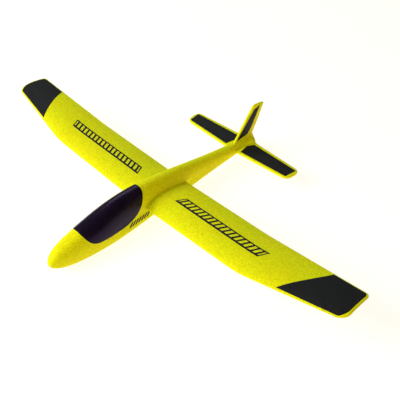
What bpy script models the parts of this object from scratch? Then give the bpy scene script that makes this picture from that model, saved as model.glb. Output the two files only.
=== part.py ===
"""Hand-launched foam glider: moulded foam fuselage halves, plug-in wing panels and tailplane, bonded fin.

Nose towards -Y, left wing towards +X, +Z up. The origin is under the middle of the glider, level with the
flat of the belly. Lengths are in metres.
"""

import math
from functools import partial

import bmesh
import bpy
import numpy as np
from mathutils import Matrix, Vector

# Whole glider
SPAN = 0.850
LENGTH = 0.527
GAP = 0.0003
THIN_SIDES = 12
ROUND_SIDES = 16
LEFT, RIGHT = 1, -1
SIDES = {"left": LEFT, "right": RIGHT}

# Fuselage: distance behind the nose, top, bottom, half width, lean. Sections are superellipses, and the
# lean is the share by which their sides close in between the two heights in LEAN_RISE.
FUSELAGE = (
    (0.000, 0.0255, 0.0255, 0.0000, 0.00),
    (0.025, 0.0503, 0.0070, 0.0170, 0.00),
    (0.080, 0.0653, -0.0008, 0.0254, 0.05),
    (0.120, 0.0753, -0.0018, 0.0285, 0.15),
    (0.160, 0.0813, -0.0002, 0.0293, 0.25),
    (0.200, 0.0812, 0.0029, 0.0281, 0.29),
    (0.280, 0.0708, 0.0090, 0.0224, 0.25),
    (0.360, 0.0555, 0.0139, 0.0158, 0.12),
    (0.440, 0.0432, 0.0173, 0.0110, 0.00),
    (0.4995, 0.0360, 0.0192, 0.0078, 0.00),
)
LEAN_RISE = (-0.75, -0.05)
SECTION_POWER = 2.3
SECTION_POINTS = 28
FUSELAGE_STATIONS = 26
NOSE_Y = -LENGTH / 2
NOSE_RING = 0.0008

# Wing panels, each from its root rib to the tip
ROOT_X = 0.034
TIP_X = SPAN / 2
WING_Z = 0.0404
KINK_X = 0.223
DIHEDRAL = 0.0638
TIP_DIHEDRAL = 0.0710
LEADING_EDGE = ((0.0, -0.0675), (0.250, -0.0713), (TIP_X, -0.0446))
TRAILING_EDGE = ((0.0, 0.0348), (0.223, 0.0281), (TIP_X, 0.0209))
TIP_RADIUS_FRONT = 0.016
TIP_RADIUS_REAR = 0.008
SECTION_XS = (ROOT_X, KINK_X, TIP_X)
CAMBER = (0.050, 0.045, 0.028)
CAMBER_AT = 0.40
THICKNESS = (0.140, 0.115, 0.088)
TRAILING_THICKNESS = 0.0018
WING_POINTS = 11
WING_STATIONS = (0.060, 0.120, 0.170, 0.223, 0.250, 0.300, 0.350, 0.395, 0.409, 0.414, 0.418, 0.4215, 0.4238)
ROOT_STUB_X = 0.010

# Wing joiner, its sleeves, the anti-rotation pins and the spar strips
JOINER_Y = -0.0340
JOINER_RADIUS = 0.0025
JOINER_REACH = 0.090
JOINER_SIDES = 14
SLEEVE_RADIUS = 0.0035
SLEEVE_WALL = 0.0007
SLEEVE_END = 0.098
SLEEVE_ENDS_IN = (0.0006, 0.0005, 0.0010)
PIN_Y = 0.0095
PIN_RADIUS = 0.0015
PIN_REACH = (0.016, 0.058)
SPAR_Y = -0.0210
SPAR_REACH = (0.045, 0.216)
SPAR_WIDTH = 0.005
SPAR_HEIGHT = 0.0020
JOINER_RISE = 0.0044
PIN_RISE = 0.0030
SPAR_DROP = 0.0004
SPAR_CHORD = 0.45
SPAR_SLOT_DEPTH = 0.006

# Tailplane, in a slot across the tail
TAILPLANE_Z = 0.03075
TAILPLANE_THICKNESS = 0.0055
TAILPLANE_EDGE = 0.0016
TAILPLANE_OUTLINE = (
    (0.000, 0.1752),
    (0.020, 0.1754),
    (0.130, 0.1817),
    (0.139, 0.1900),
    (0.1405, 0.2110),
    (0.1345, 0.2190),
    (0.021, 0.2257),
    (0.012, 0.2318),
    (0.000, 0.2350),
)

# Saddle moulded over the tailplane: y, half width at its foot, height of its ridge
SADDLE = (
    (0.1580, 0.0060, 0.0430),
    (0.1760, 0.0112, 0.0425),
    (0.1850, 0.0114, 0.0435),
    (0.1960, 0.0117, 0.0448),
    (0.2070, 0.0138, 0.0460),
    (0.2160, 0.0172, 0.0468),
    (0.2230, 0.0200, 0.0470),
    (0.2290, 0.0160, 0.0462),
    (0.2345, 0.0080, 0.0445),
)
SADDLE_FOOT_Z = 0.0330
SADDLE_FLANGE = 0.0022
SADDLE_CREST = 0.0034
SADDLE_HOLLOW = 2.0
SADDLE_POINTS = 6

# Fin, plugged into a slot in the saddle: y, z around its outline
FIN_THICKNESS = 0.0052
FIN_OUTLINE = (
    (0.1800, 0.0370),
    (0.1800, 0.0425),
    (0.2105, 0.0816),
    (0.2325, 0.1086),
    (0.2375, 0.1103),
    (0.2610, 0.1070),
    (LENGTH / 2, 0.1045),
    (0.2478, 0.0703),
    (0.2350, 0.0470),
    (0.2320, 0.0370),
)
FIN_EDGE = 0.0016

# Shading, bevels and welds
SHARP_ANGLE = math.radians(35)
BEVEL_ANGLE = math.radians(40)
WELD = 1e-6
EMPTY_SIZE = 0.02

# Cutters: how far they run past what they cut, and the half width, half length and height of the block
# that holds one half of the fuselage
OVERRUN = 0.010
BLOCK = (0.060, 0.300, 0.120)

# Canopy shell: y, z along its lower edge in side view
CANOPY_EDGE = (
    (-0.2050, 0.0780),
    (-0.1986, 0.0561),
    (-0.1876, 0.0401),
    (-0.1687, 0.0320),
    (-0.1355, 0.0307),
    (-0.1074, 0.0328),
    (-0.0849, 0.0434),
    (-0.0729, 0.0620),
    (-0.0680, 0.0745),
    (-0.0655, 0.0860),
)
CANOPY_TOP_Z = 0.100
CANOPY_PROUD = 0.0004
CANOPY_WALL = 0.0013
CANOPY_EDGE_STEPS = 33
CANOPY_STATIONS = 16
SEAT_STATIONS = 14
PEG_RADIUS = 0.0030
PEG_SIDES = 14
PEG_BOTTOM_Z = 0.046
PEG_YS = (-0.180, -0.092)

# Steel ballast in the nose and the stiffening rod in the tail boom
BALLAST_RADIUS = 0.0090
BALLAST_SIDES = 20
BALLAST_Y = (-0.234, -0.198)
BALLAST_Z = 0.0270
ROD_RADIUS = 0.0015
ROD_Y = (-0.020, 0.166)
ROD_Z = 0.0300

# Films stuck on the foam. A grid is the number of faces across and along.
FILM = 0.00015
TIP_PANEL_GRID = (10, 11)
GRAPHIC_GRID = (8, 4)
MARK_GRID = (6, 3)
TIP_PANEL_FRONT_X = 0.312
TIP_PANEL_REAR_X = 0.360
TIP_PANEL_MARGIN = 0.0045
TIP_PANEL_CHORD = (0.075, 0.975)
TIP_PANEL_CROWDING = 1.6
GRAPHIC_X = (0.057, 0.255)
GRAPHIC_SLANT = 0.010
GRAPHIC_CHORD = (0.412, 0.615)
TAIL_PANEL = ((0.0190, 0.1812), (0.1300, 0.1868), (0.1345, 0.2120), (0.0225, 0.2150), (0.0150, 0.2020))
FIN_PANEL = ((0.1855, 0.0462), (0.2345, 0.1012), (0.2520, 0.1052), (0.2275, 0.0600), (0.2185, 0.0500))
MARK_Y = (-0.1095, -0.0620)
MARK_Z = (0.0228, 0.0310)
MARK_SLANT = 0.008
MARK_TILT = 0.0011

# Finishes: colour, roughness, metallic
FINISHES = {
    "yellow_foam": ((0.90, 0.85, 0.02), 0.65, 0.0),
    "black_film": ((0.016, 0.014, 0.018), 0.35, 0.0),
    "canopy_plastic": ((0.012, 0.008, 0.016), 0.18, 0.0),
    "carbon_rod": ((0.02, 0.02, 0.022), 0.35, 0.0),
    "glass_fibre": ((0.72, 0.74, 0.66), 0.45, 0.0),
    "sleeve_plastic": ((0.85, 0.85, 0.82), 0.45, 0.0),
    "ballast_steel": ((0.55, 0.55, 0.56), 0.35, 1.0),
}


def natural_spline(knots, values, wanted):
    """The natural cubic spline through values at knots, read at wanted."""
    knots = np.asarray(knots, float)
    values = np.asarray(values, float)
    steps = np.diff(knots)
    count = len(knots)
    system = np.eye(count)
    right_side = np.zeros(count)
    for i in range(1, count - 1):
        system[i, i - 1 : i + 2] = steps[i - 1], 2 * (steps[i - 1] + steps[i]), steps[i]
        slopes = np.diff(values[i - 1 : i + 2]) / steps[i - 1 : i + 1]
        right_side[i] = 6 * (slopes[1] - slopes[0])
    bends = np.linalg.solve(system, right_side)
    wanted = np.asarray(wanted, float)
    i = np.clip(np.searchsorted(knots, wanted) - 1, 0, count - 2)
    before = wanted - knots[i]
    after = knots[i + 1] - wanted
    step = steps[i]
    return (
        (bends[i] * after**3 + bends[i + 1] * before**3) / (6 * step)
        + (values[i] / step - bends[i] * step / 6) * after
        + (values[i + 1] / step - bends[i + 1] * step / 6) * before
    )


def fuselage_section(y):
    """(top, bottom, half width, lean) at y, read against the root of the distance to round the nose."""
    rows = np.array(FUSELAGE)
    roots = np.sqrt(rows[:, 0])
    here = math.sqrt(max(y - NOSE_Y, 0.0))
    return tuple(float(natural_spline(roots, rows[:, i], here)) for i in (1, 2, 3, 4))


def leaning(up, lean):
    """How much of the half width is left at up, which runs from -1 at the bottom to 1 at the top."""
    low, high = LEAN_RISE
    share = min(max((up - low) / (high - low), 0.0), 1.0)
    return 1 - lean * share**2 * (3 - 2 * share)


def fuselage_point(y, angle, proud=0.0):
    """A point of the section at y, angle measured from +X towards +Z, moved outwards by proud."""
    top, bottom, half_width, lean = fuselage_section(y)
    turned = math.cos(angle), math.sin(angle)
    across, up = (math.copysign(abs(v) ** (2 / SECTION_POWER), v) for v in turned)
    x = (half_width * leaning(up, lean) + proud) * across
    z = (top + bottom) / 2 + ((top - bottom) / 2 + proud) * up
    return Vector((x, y, z))


def fuselage_ring(y, proud=0.0):
    angles = (math.tau * i / SECTION_POINTS for i in range(SECTION_POINTS))
    return [fuselage_point(y, angle, proud) for angle in angles]


def along(line, x):
    """The value at x of a line given by its points."""
    return float(np.interp(x, [p[0] for p in line], [p[1] for p in line]))


def corner_cut(x, radius):
    """How far a tip corner of this radius draws an edge in at x."""
    into = x - (TIP_X - radius)
    return 0.0 if into <= 0 else radius - math.sqrt(max(radius**2 - into**2, 0.0))


def wing_edges(x):
    front = along(LEADING_EDGE, x) + corner_cut(x, TIP_RADIUS_FRONT)
    rear = along(TRAILING_EDGE, x) - corner_cut(x, TIP_RADIUS_REAR)
    return front, rear


def wing_height(x):
    return WING_Z + DIHEDRAL * (x - ROOT_X) + TIP_DIHEDRAL * max(0.0, x - KINK_X)


def along_span(values, x):
    return float(np.interp(x, SECTION_XS, values))


def camber_line(x, c):
    """Height of the mean line over the chord, as a fraction of the chord: two parabolas."""
    camber = along_span(CAMBER, x)
    if c < CAMBER_AT:
        return camber / CAMBER_AT**2 * (2 * CAMBER_AT * c - c * c)
    return camber / (1 - CAMBER_AT) ** 2 * (1 - 2 * CAMBER_AT + 2 * CAMBER_AT * c - c * c)


def half_thickness(x, c):
    """Half the thickness as a fraction of the chord: the four-digit aerofoil's formula."""
    shape = 0.2969 * math.sqrt(c) - 0.1260 * c - 0.3516 * c**2 + 0.2843 * c**3 - 0.1036 * c**4
    return 5 * along_span(THICKNESS, x) * shape


def wing_point(x, c, surface):
    """A point at chord fraction c of the section at x. surface is 1 on top and -1 underneath."""
    front, rear = wing_edges(x)
    full_chord = along(TRAILING_EDGE, x) - along(LEADING_EDGE, x)
    rise = full_chord * (camber_line(x, c) + surface * half_thickness(x, c))
    rise += surface * TRAILING_THICKNESS / 2 * c
    return Vector((x, front + c * (rear - front), wing_height(x) + rise))


def wing_ring(x, side):
    """The section at x as a closed ring."""
    fractions = [(1 - math.cos(math.pi * i / WING_POINTS)) / 2 for i in range(WING_POINTS + 1)]
    ring = [wing_point(x, c, 1) for c in reversed(fractions)]
    ring += [wing_point(x, c, -1) for c in fractions[1:]]
    for point in ring:
        point.x *= side
    return ring


def material(name, colour, roughness, metallic):
    made = bpy.data.materials.new(name)
    made.use_nodes = True
    shader = made.node_tree.nodes["Principled BSDF"]
    shader.inputs["Base Color"].default_value = (*colour, 1.0)
    shader.inputs["Roughness"].default_value = roughness
    shader.inputs["Metallic"].default_value = metallic
    made.diffuse_color = (*colour, 1.0)
    return made


def add_object(name, mesh, collection, finish=None):
    made = bpy.data.objects.new(name, mesh)
    collection.objects.link(made)
    if finish:
        mesh.materials.append(finish)
    else:
        made.hide_render = True
        made.display_type = "WIRE"
    return made


def mesh_from(bm, name):
    """A mesh with outward normals from bm, which is freed."""
    bmesh.ops.recalc_face_normals(bm, faces=bm.faces)
    mesh = bpy.data.meshes.new(name)
    bm.to_mesh(mesh)
    bm.free()
    mesh.shade_smooth()
    mesh.set_sharp_from_angle(angle=SHARP_ANGLE)
    return mesh


def loft(name, rings):
    """A closed mesh through rings with the same number of points. A ring of one point is a tip."""
    bm = bmesh.new()
    made = [[bm.verts.new(point) for point in ring] for ring in rings]
    for lower, upper in zip(made, made[1:]):
        for i in range(max(len(lower), len(upper))):
            corners = [lower[i % len(lower)], lower[(i + 1) % len(lower)]]
            corners += [upper[(i + 1) % len(upper)], upper[i % len(upper)]]
            bm.faces.new(list(dict.fromkeys(corners)))
    for end in (made[0], made[-1]):
        if len(end) > 1:
            bm.faces.new(end)
    return mesh_from(bm, name)


def box(name, low, high):
    bm = bmesh.new()
    centre = (Vector(low) + Vector(high)) / 2
    size = Vector(high) - Vector(low)
    bmesh.ops.create_cube(bm, size=1.0, matrix=Matrix.Translation(centre) @ Matrix.Diagonal((*size, 1.0)))
    return mesh_from(bm, name)


def cylinder(name, start, end, radius, sides, capped=True):
    start, end = Vector(start), Vector(end)
    turn = (end - start).to_track_quat("Z", "Y").to_matrix().to_4x4()
    bm = bmesh.new()
    bmesh.ops.create_cone(
        bm,
        cap_ends=capped,
        segments=sides,
        radius1=radius,
        radius2=radius,
        depth=(end - start).length,
        matrix=Matrix.Translation((start + end) / 2) @ turn,
    )
    return mesh_from(bm, name)


def outline_plate(name, points, thickness, placed):
    """A flat plate: a filled 2D curve made a mesh, with its caps welded to its sides."""
    curve = bpy.data.curves.new(name, "CURVE")
    curve.dimensions = "2D"
    curve.fill_mode = "BOTH"
    curve.extrude = thickness / 2
    spline = curve.splines.new("POLY")
    spline.points.add(len(points) - 1)
    for point, (u, v) in zip(spline.points, points):
        point.co = (u, v, 0.0, 1.0)
    spline.use_cyclic_u = True
    guide = bpy.data.objects.new(name, curve)
    guide.matrix_world = placed
    bpy.context.scene.collection.objects.link(guide)
    bpy.context.view_layer.update()
    seen = guide.evaluated_get(bpy.context.evaluated_depsgraph_get())
    flat = bpy.data.meshes.new_from_object(seen)
    bm = bmesh.new()
    bm.from_mesh(flat)
    bmesh.ops.remove_doubles(bm, verts=bm.verts, dist=WELD)
    bmesh.ops.transform(bm, matrix=placed, verts=bm.verts)
    bpy.data.objects.remove(guide)
    bpy.data.curves.remove(curve)
    bpy.data.meshes.remove(flat)
    return mesh_from(bm, name)


# A plate drawn as (y, z) and standing across X
UPRIGHT = Matrix(((0, 0, 1, 0), (1, 0, 0, 0), (0, 1, 0, 0), (0, 0, 0, 1)))


def combine(target, operation, other):
    modifier = target.modifiers.new(f"{operation.lower()}_{other.name}", "BOOLEAN")
    modifier.operation = operation
    modifier.object = other
    return target


def round_edges(target, width, segments=2):
    modifier = target.modifiers.new("rounded_edges", "BEVEL")
    modifier.width = width
    modifier.segments = segments
    modifier.limit_method = "ANGLE"
    modifier.angle_limit = BEVEL_ANGLE
    return target


def joint_empty(name, place, collection, children):
    """An empty on the line that its pieces slide along, with the pieces parented to it where they are."""
    empty = bpy.data.objects.new(name, None)
    empty.empty_display_size = EMPTY_SIZE
    empty.location = place
    collection.objects.link(empty)
    for child in children:
        child.parent = empty
        child.matrix_parent_inverse = Matrix.Translation(place).inverted()
    return empty


def joiner_point(x, rise=JOINER_RISE, y=JOINER_Y):
    """A point of the line that rises with the root dihedral, at signed x."""
    return Vector((x, y, WING_Z + rise + DIHEDRAL * (abs(x) - ROOT_X)))


def fuselage_rings(proud, first, last, stations):
    """Rings between two distances behind the nose, closer together near the nose."""
    roots = np.linspace(math.sqrt(first), math.sqrt(last), stations)
    return [fuselage_ring(NOSE_Y + root**2, proud) for root in roots]


def fuselage_body(cutters):
    """The whole fuselage in one solid, with its wing stubs and its saddle, before it is split."""
    rings = [[Vector((0.0, NOSE_Y, FUSELAGE[0][1]))]]
    rings += fuselage_rings(0.0, NOSE_RING, FUSELAGE[-1][0], FUSELAGE_STATIONS)
    body = add_object("fuselage_body", loft("fuselage_body", rings), cutters)
    for word, side in SIDES.items():
        name = f"root_stub_{word}"
        stub = loft(name, [wing_ring(x, side) for x in (ROOT_STUB_X, ROOT_X)])
        combine(body, "UNION", add_object(name, stub, cutters))
    return combine(body, "UNION", saddle(cutters))


def saddle_section(y, foot, ridge):
    """One side of the saddle sweeps up in a hollow curve to meet the fin."""
    side = [Vector((foot, y, SADDLE_FOOT_Z))]
    low = SADDLE_FOOT_Z + SADDLE_FLANGE
    for i in range(SADDLE_POINTS):
        up = i / (SADDLE_POINTS - 1)
        half = SADDLE_CREST + (foot - SADDLE_CREST) * (1 - up) ** SADDLE_HOLLOW
        side.append(Vector((half, y, low + (ridge - low) * up)))
    return side + [Vector((-p.x, p.y, p.z)) for p in reversed(side)]


def saddle(cutters):
    sections = [saddle_section(*row) for row in SADDLE]
    return add_object("saddle", loft("saddle", sections), cutters)


def canopy_zone(name, grown, cutters):
    """The block of space above the canopy's lower edge, grown by a little all round."""
    rows = np.array(CANOPY_EDGE)
    marks = np.linspace(0.0, len(rows) - 1.0, CANOPY_EDGE_STEPS)
    y = natural_spline(range(len(rows)), rows[:, 0], marks)
    z = natural_spline(range(len(rows)), rows[:, 1], marks)
    away = np.stack([np.gradient(z), -np.gradient(y)], 1)
    away *= grown / np.linalg.norm(away, axis=1)[:, None]
    edge = np.stack([y, z], 1) + away
    points = [*edge.tolist(), [edge[-1][0], CANOPY_TOP_Z], [edge[0][0], CANOPY_TOP_Z]]
    return add_object(name, outline_plate(name, points, 2 * BLOCK[0], UPRIGHT), cutters)


def canopy_block(name, proud, cutters):
    first = CANOPY_EDGE[0][0] - NOSE_Y - OVERRUN
    last = CANOPY_EDGE[-1][0] - NOSE_Y + OVERRUN
    return add_object(name, loft(name, fuselage_rings(proud, first, last, SEAT_STATIONS)), cutters)


def canopy(parts, cutters, finish):
    """A thin moulded shell over the cockpit with two pegs that press into the foam."""
    first = CANOPY_EDGE[0][0] - NOSE_Y - OVERRUN / 2
    last = CANOPY_EDGE[-1][0] - NOSE_Y + OVERRUN / 2
    rings = fuselage_rings(CANOPY_PROUD, first, last, CANOPY_STATIONS)
    shell = add_object("canopy", loft("canopy", rings), parts, finish)
    combine(shell, "INTERSECT", canopy_zone("canopy_zone", 0.0, cutters))
    combine(shell, "DIFFERENCE", canopy_block("canopy_inside", CANOPY_PROUD - CANOPY_WALL, cutters))
    for number, y in enumerate(PEG_YS, 1):
        top = fuselage_section(y)[0] - CANOPY_WALL / 2
        name = f"canopy_peg_{number}"
        mesh = cylinder(name, (0, y, PEG_BOTTOM_Z), (0, y, top), PEG_RADIUS, PEG_SIDES)
        combine(shell, "UNION", add_object(name, mesh, cutters))
    return shell


def canopy_seat(cutters):
    """The space that the shell fills in the foam, with a little clearance."""
    seat = canopy_zone("canopy_seat", GAP, cutters)
    return combine(seat, "DIFFERENCE", canopy_block("seat_floor", CANOPY_PROUD - CANOPY_WALL - GAP, cutters))


def fuselage_pockets(cutters):
    """Everything that is moulded into both halves, as cutters that cross the joint between them."""
    pockets = [canopy_seat(cutters)]
    for number, y in enumerate(PEG_YS, 1):
        name = f"peg_hole_{number}"
        ends = [(0, y, PEG_BOTTOM_Z - GAP), (0, y, CANOPY_TOP_Z)]
        mesh = cylinder(name, *ends, PEG_RADIUS + GAP, PEG_SIDES)
        pockets.append(add_object(name, mesh, cutters))
    ends = [(0, BALLAST_Y[0] - GAP, BALLAST_Z), (0, BALLAST_Y[1] + GAP, BALLAST_Z)]
    mesh = cylinder("ballast_pocket", *ends, BALLAST_RADIUS + GAP, BALLAST_SIDES)
    pockets.append(add_object("ballast_pocket", mesh, cutters))
    ends = [(0, ROD_Y[0] - GAP, ROD_Z), (0, ROD_Y[1] + GAP, ROD_Z)]
    mesh = cylinder("rod_groove", *ends, ROD_RADIUS + GAP, THIN_SIDES)
    pockets.append(add_object("rod_groove", mesh, cutters))
    low = TAILPLANE_Z - TAILPLANE_THICKNESS / 2 - GAP
    high = TAILPLANE_Z + TAILPLANE_THICKNESS / 2 + FILM + 2 * GAP
    front = TAILPLANE_OUTLINE[0][1] - GAP
    mesh = box("tailplane_slot", (-BLOCK[0], front, low), (BLOCK[0], LENGTH / 2, high))
    pockets.append(add_object("tailplane_slot", mesh, cutters))
    half = FIN_THICKNESS / 2 + GAP
    foot_y, foot_z = FIN_OUTLINE[0]
    mesh = box("fin_slot", (-half, foot_y - GAP, foot_z - GAP), (half, LENGTH / 2, BLOCK[2]))
    pockets.append(add_object("fin_slot", mesh, cutters))
    return pockets


def fuselage_half(word, side, body, pockets, parts, cutters, finish):
    """The body on one side of the joint, cut by the shared pockets and this side's two bores."""
    name = f"fuselage_{word}"
    sides = sorted((side * GAP / 2, side * BLOCK[0]))
    mesh = box(name, (sides[0], -BLOCK[1], 0.0), (sides[1], BLOCK[1], BLOCK[2]))
    half = add_object(name, mesh, parts, finish)
    combine(half, "INTERSECT", body)
    for pocket in pockets:
        combine(half, "DIFFERENCE", pocket)
    name = f"sleeve_bore_{word}"
    end = joiner_point(side * (ROOT_X + OVERRUN))
    start = joiner_point(0.0) - (end - joiner_point(0.0)).normalized() * SLEEVE_RADIUS
    mesh = cylinder(name, start, end, SLEEVE_RADIUS + GAP, ROUND_SIDES)
    combine(half, "DIFFERENCE", add_object(name, mesh, cutters))
    name = f"pin_socket_{word}"
    start = joiner_point(side * (PIN_REACH[0] - GAP), PIN_RISE, PIN_Y)
    end = joiner_point(side * (ROOT_X + OVERRUN), PIN_RISE, PIN_Y)
    mesh = cylinder(name, start, end, PIN_RADIUS + GAP, THIN_SIDES)
    return combine(half, "DIFFERENCE", add_object(name, mesh, cutters))


def wing_panel(word, side, parts, cutters, finish):
    """A cambered panel with rounded tip corners, bored for its sleeve and pin and slotted for its spar."""
    name = f"wing_{word}"
    stations = [ROOT_X + GAP, *WING_STATIONS, TIP_X]
    panel = add_object(name, loft(name, [wing_ring(x, side) for x in stations]), parts, finish)
    bores = (
        ("sleeve_pocket", JOINER_RISE, JOINER_Y, SLEEVE_END + GAP, SLEEVE_RADIUS + GAP),
        ("pin_pocket", PIN_RISE, PIN_Y, PIN_REACH[1] + GAP, PIN_RADIUS + GAP),
    )
    for kind, rise, y, reach, radius in bores:
        name = f"{kind}_{word}"
        start = joiner_point(side * (ROOT_X - OVERRUN), rise, y)
        mesh = cylinder(name, start, joiner_point(side * reach, rise, y), radius, ROUND_SIDES)
        combine(panel, "DIFFERENCE", add_object(name, mesh, cutters))
    slot = add_object(f"spar_slot_{word}", spar_mesh(f"spar_slot_{word}", side, GAP), cutters)
    return combine(panel, "DIFFERENCE", slot)


def spar_mesh(name, side, grown):
    """A flat strip let into the underside. Grown, it is the slot, which opens downwards."""
    sections = []
    for x in (SPAR_REACH[0] - grown, SPAR_REACH[1] + grown):
        underside = wing_point(x, SPAR_CHORD, -1).z + SPAR_DROP
        floor = underside - (SPAR_SLOT_DEPTH if grown else 0.0)
        roof = underside + SPAR_HEIGHT + grown
        front = SPAR_Y - SPAR_WIDTH / 2 - grown
        rear = SPAR_Y + SPAR_WIDTH / 2 + grown
        corners = ((front, floor), (rear, floor), (rear, roof), (front, roof))
        sections.append([Vector((side * x, y, z)) for y, z in corners])
    return loft(name, sections)


def sleeve(name, start, end, parts, finish):
    """A tube: an open cylinder given a wall."""
    mesh = cylinder(name, start, end, SLEEVE_RADIUS, ROUND_SIDES, capped=False)
    tube = add_object(name, mesh, parts, finish)
    wall = tube.modifiers.new("wall", "SOLIDIFY")
    wall.thickness = SLEEVE_WALL
    wall.offset = -1
    return tube


def wing_joiner(parts, finish):
    """One rod bent to the dihedral at its middle, with square ends."""
    rings = []
    for x in (-JOINER_REACH, 0.0, JOINER_REACH):
        lean = 0.0 if x == 0 else math.copysign(math.atan(DIHEDRAL), x)
        centre = joiner_point(x)
        ring = []
        for i in range(JOINER_SIDES):
            angle = math.tau * i / JOINER_SIDES
            up = JOINER_RADIUS * math.sin(angle)
            offset = Vector((-up * math.sin(lean), JOINER_RADIUS * math.cos(angle), up * math.cos(lean)))
            ring.append(centre + offset)
        rings.append(ring)
    return add_object("wing_joiner", loft("wing_joiner", rings), parts, finish)


def film(name, surface, finish, parts, outwards, grid_size):
    """A thin film over surface(u, v), with u and v from 0 to 1, thickened along outwards."""
    across, down = grid_size
    bm = bmesh.new()
    grid = []
    for i in range(across + 1):
        row = [surface(i / across, j / down) + Vector(outwards) * GAP for j in range(down + 1)]
        grid.append([bm.verts.new(point) for point in row])
    for near, far in zip(grid, grid[1:]):
        for i in range(down):
            bm.faces.new((near[i], near[i + 1], far[i + 1], far[i]))
    lid = [bm.verts.new(v.co + Vector(outwards) * FILM) for row in grid for v in row]
    width = down + 1
    for i in range(across):
        for j in range(down):
            a = i * width + j
            bm.faces.new((lid[a], lid[a + width], lid[a + width + 1], lid[a + 1]))
    rim = [(i, 0) for i in range(across)] + [(across, j) for j in range(down)]
    rim += [(i, down) for i in range(across, 0, -1)] + [(0, j) for j in range(down, 0, -1)]
    for (i, j), (k, m) in zip(rim, rim[1:] + rim[:1]):
        bm.faces.new((grid[i][j], grid[k][m], lid[k * width + m], lid[i * width + j]))
    return add_object(name, mesh_from(bm, name), parts, finish)


def tip_panel_point(side, u, v):
    """From the slanted inner edge out to the tip, inside its rounded corners. Rows crowd forwards."""
    v = v**TIP_PANEL_CROWDING
    inner = TIP_PANEL_FRONT_X + (TIP_PANEL_REAR_X - TIP_PANEL_FRONT_X) * v
    chord = along(TRAILING_EDGE, TIP_X) - along(LEADING_EDGE, TIP_X)
    c = TIP_PANEL_CHORD[0] + (TIP_PANEL_CHORD[1] - TIP_PANEL_CHORD[0]) * v
    from_front, from_rear = c * chord, (1 - c) * chord
    cut = 0.0
    if from_front < TIP_RADIUS_FRONT:
        cut = TIP_RADIUS_FRONT - math.sqrt(TIP_RADIUS_FRONT**2 - (TIP_RADIUS_FRONT - from_front) ** 2)
    if from_rear < TIP_RADIUS_REAR:
        cut = TIP_RADIUS_REAR - math.sqrt(TIP_RADIUS_REAR**2 - (TIP_RADIUS_REAR - from_rear) ** 2)
    outer = TIP_X - TIP_PANEL_MARGIN - cut
    point = wing_point(inner + (outer - inner) * u, c, 1)
    point.x *= side
    return point


def graphic_point(side, u, v):
    """A slanted band along the middle of the panel."""
    c = GRAPHIC_CHORD[0] + (GRAPHIC_CHORD[1] - GRAPHIC_CHORD[0]) * v
    x = GRAPHIC_X[0] + (GRAPHIC_X[1] - GRAPHIC_X[0]) * u + GRAPHIC_SLANT * (v - 0.5)
    point = wing_point(x, c, 1)
    point.x *= side
    return point


def mark_point(side, u, v):
    """A slanted band low on the side of the fuselage, below the rear of the canopy."""
    y = MARK_Y[0] + (MARK_Y[1] - MARK_Y[0]) * u + MARK_SLANT * (v - 0.5)
    top, bottom, half_width, lean = fuselage_section(y)
    z = MARK_Z[0] + (MARK_Z[1] - MARK_Z[0]) * v + MARK_TILT * u
    up = 2 * (z - (top + bottom) / 2) / (top - bottom)
    x = half_width * leaning(up, lean) * (1 - abs(up) ** SECTION_POWER) ** (1 / SECTION_POWER)
    return Vector((side * x, y, z))


def films(word, side, parts, finish):
    """This side's films. Returns those that move with the wing panel and with the tailplane."""
    curved = (
        ("tip_panel", tip_panel_point, (0, 0, 1), TIP_PANEL_GRID),
        ("wing_graphic", graphic_point, (0, 0, 1), GRAPHIC_GRID),
        ("side_mark", mark_point, (side, 0, 0), MARK_GRID),
    )
    made = {}
    for kind, point, outwards, grid_size in curved:
        surface = partial(point, side)
        made[kind] = film(f"{kind}_{word}", surface, finish, parts, outwards, grid_size)
    level = TAILPLANE_Z + TAILPLANE_THICKNESS / 2 + GAP + FILM / 2
    points = [(side * x, y) for x, y in TAIL_PANEL]
    name = f"tail_panel_{word}"
    mesh = outline_plate(name, points, FILM, Matrix.Translation((0, 0, level)))
    on_tailplane = add_object(name, mesh, parts, finish)
    name = f"fin_panel_{word}"
    away = side * (FIN_THICKNESS / 2 + GAP + FILM / 2)
    mesh = outline_plate(name, FIN_PANEL, FILM, Matrix.Translation((away, 0, 0)) @ UPRIGHT)
    add_object(name, mesh, parts, finish)
    return [made["tip_panel"], made["wing_graphic"]], [on_tailplane]


def tailplane(parts, finish):
    """One plate right across, with a tongue behind its middle that closes the slot."""
    right = [(-x, y) for x, y in reversed(TAILPLANE_OUTLINE[1:-1])]
    placed = Matrix.Translation((0, 0, TAILPLANE_Z))
    mesh = outline_plate("tailplane", [*TAILPLANE_OUTLINE, *right], TAILPLANE_THICKNESS, placed)
    return round_edges(add_object("tailplane", mesh, parts, finish), TAILPLANE_EDGE)


def fin(parts, finish):
    mesh = outline_plate("tail_fin", FIN_OUTLINE, FIN_THICKNESS, UPRIGHT)
    return round_edges(add_object("tail_fin", mesh, parts, finish), FIN_EDGE)


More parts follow.
